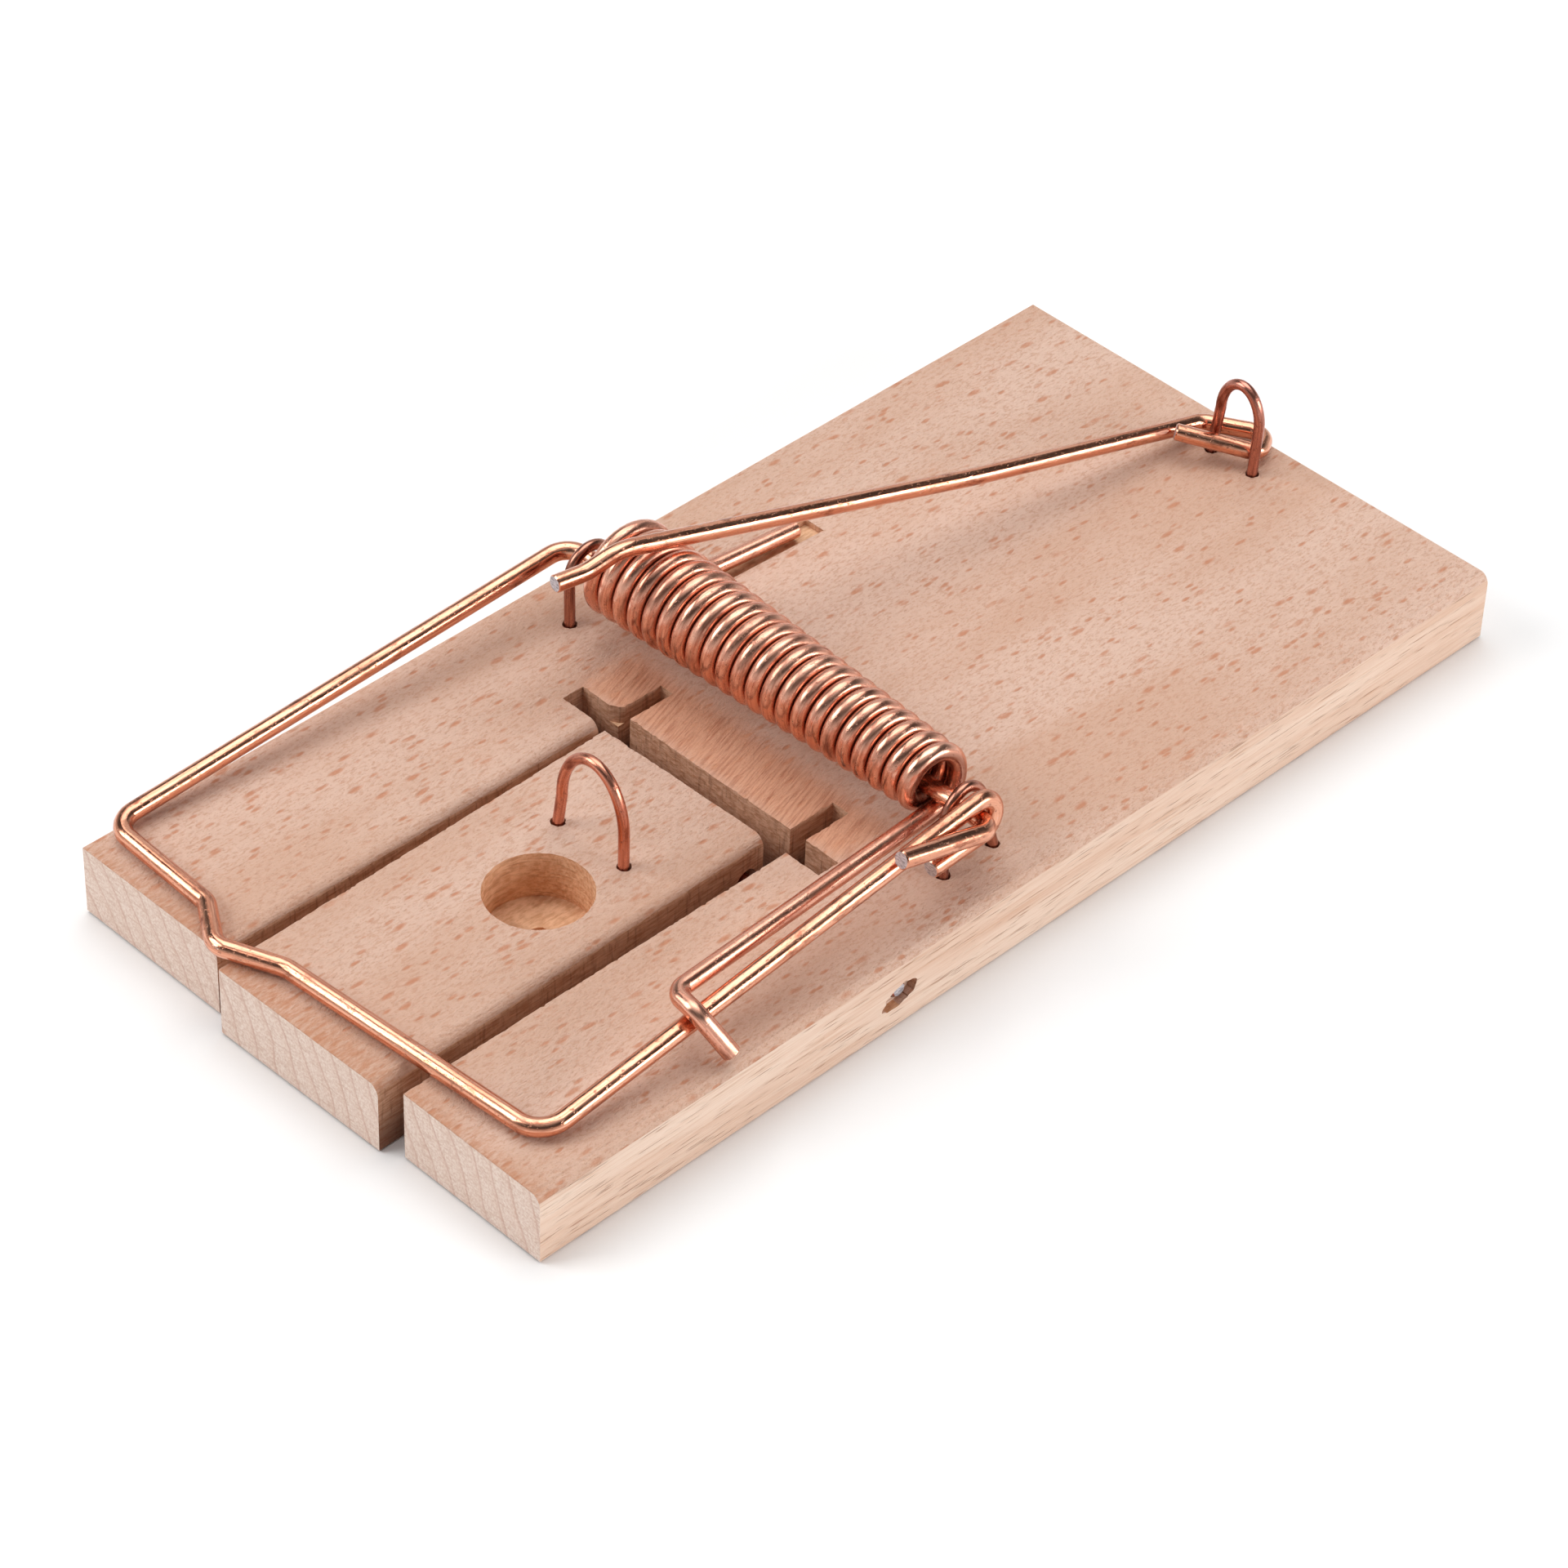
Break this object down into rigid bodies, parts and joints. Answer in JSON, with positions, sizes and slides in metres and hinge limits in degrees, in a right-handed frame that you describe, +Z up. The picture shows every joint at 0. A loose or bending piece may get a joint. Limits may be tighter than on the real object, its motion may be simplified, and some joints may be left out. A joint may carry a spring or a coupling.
{
  "type": "snap mouse trap",
  "caption": "Wooden snap mouse trap with a pivoted treadle, a wire bow on a torsion spring and a lock bar.",
  "frame": {"origin": "centre of the board's underside", "axes": "+X to the right, +Y from the treadle end towards the rear end, +Z up out of the board"},
  "size_m": [0.0474, 0.0975, 0.0177],
  "materials": {
    "board_beech": "planed, unvarnished",
    "treadle_beech": "planed, unvarnished",
    "pivot_wire": "drawn, copper coated",
    "treadle_staple_wire": "drawn, copper coated",
    "staple_wire": "drawn, copper coated, tarnished",
    "bow_wire": "drawn, copper coated",
    "spring_wire": "drawn, copper coated",
    "lock_bar_wire": "drawn, copper coated, scuffed"
  },
  "bodies": {
    "base": {"base_board": "board_beech", "treadle_pivot_pin": "pivot_wire", "left_axle_staple": "staple_wire", "right_axle_staple": "staple_wire", "rear_staple": "staple_wire", "torsion_spring": "spring_wire"},
    "treadle_arm": {"treadle": "treadle_beech", "treadle_staple": "treadle_staple_wire"},
    "bow": {"snap_bow": "bow_wire"},
    "bar": {"lock_bar": "lock_bar_wire"}
  },
  "joints": [
    {"name": "bow_swing", "type": "hinge", "parent": "base", "child": "bow", "pos_m": [0, -0.00385, 0.01035], "axis": [-1, 0, 0], "range_deg": [0, 175], "stiffness_Nm_per_rad": 0.097, "springref_deg": -34.38, "deforming": ["torsion_spring"]},
    {"name": "treadle_tilt", "type": "hinge", "parent": "base", "child": "treadle_arm", "pos_m": [0, -0.0143, 0.0028], "axis": [-1, 0, 0], "range_deg": [0, 18]},
    {"name": "lock_bar_lift", "type": "hinge", "parent": "base", "child": "bar", "pos_m": [0.0022, 0.0467, 0.0067], "axis": [-0.6112, 0.7915, 0], "range_deg": [0, 28]}
  ],
  "couplings": [
    {"joint": "treadle_tilt", "follows": "bow_swing", "ratio": 0.1028}
  ]
}
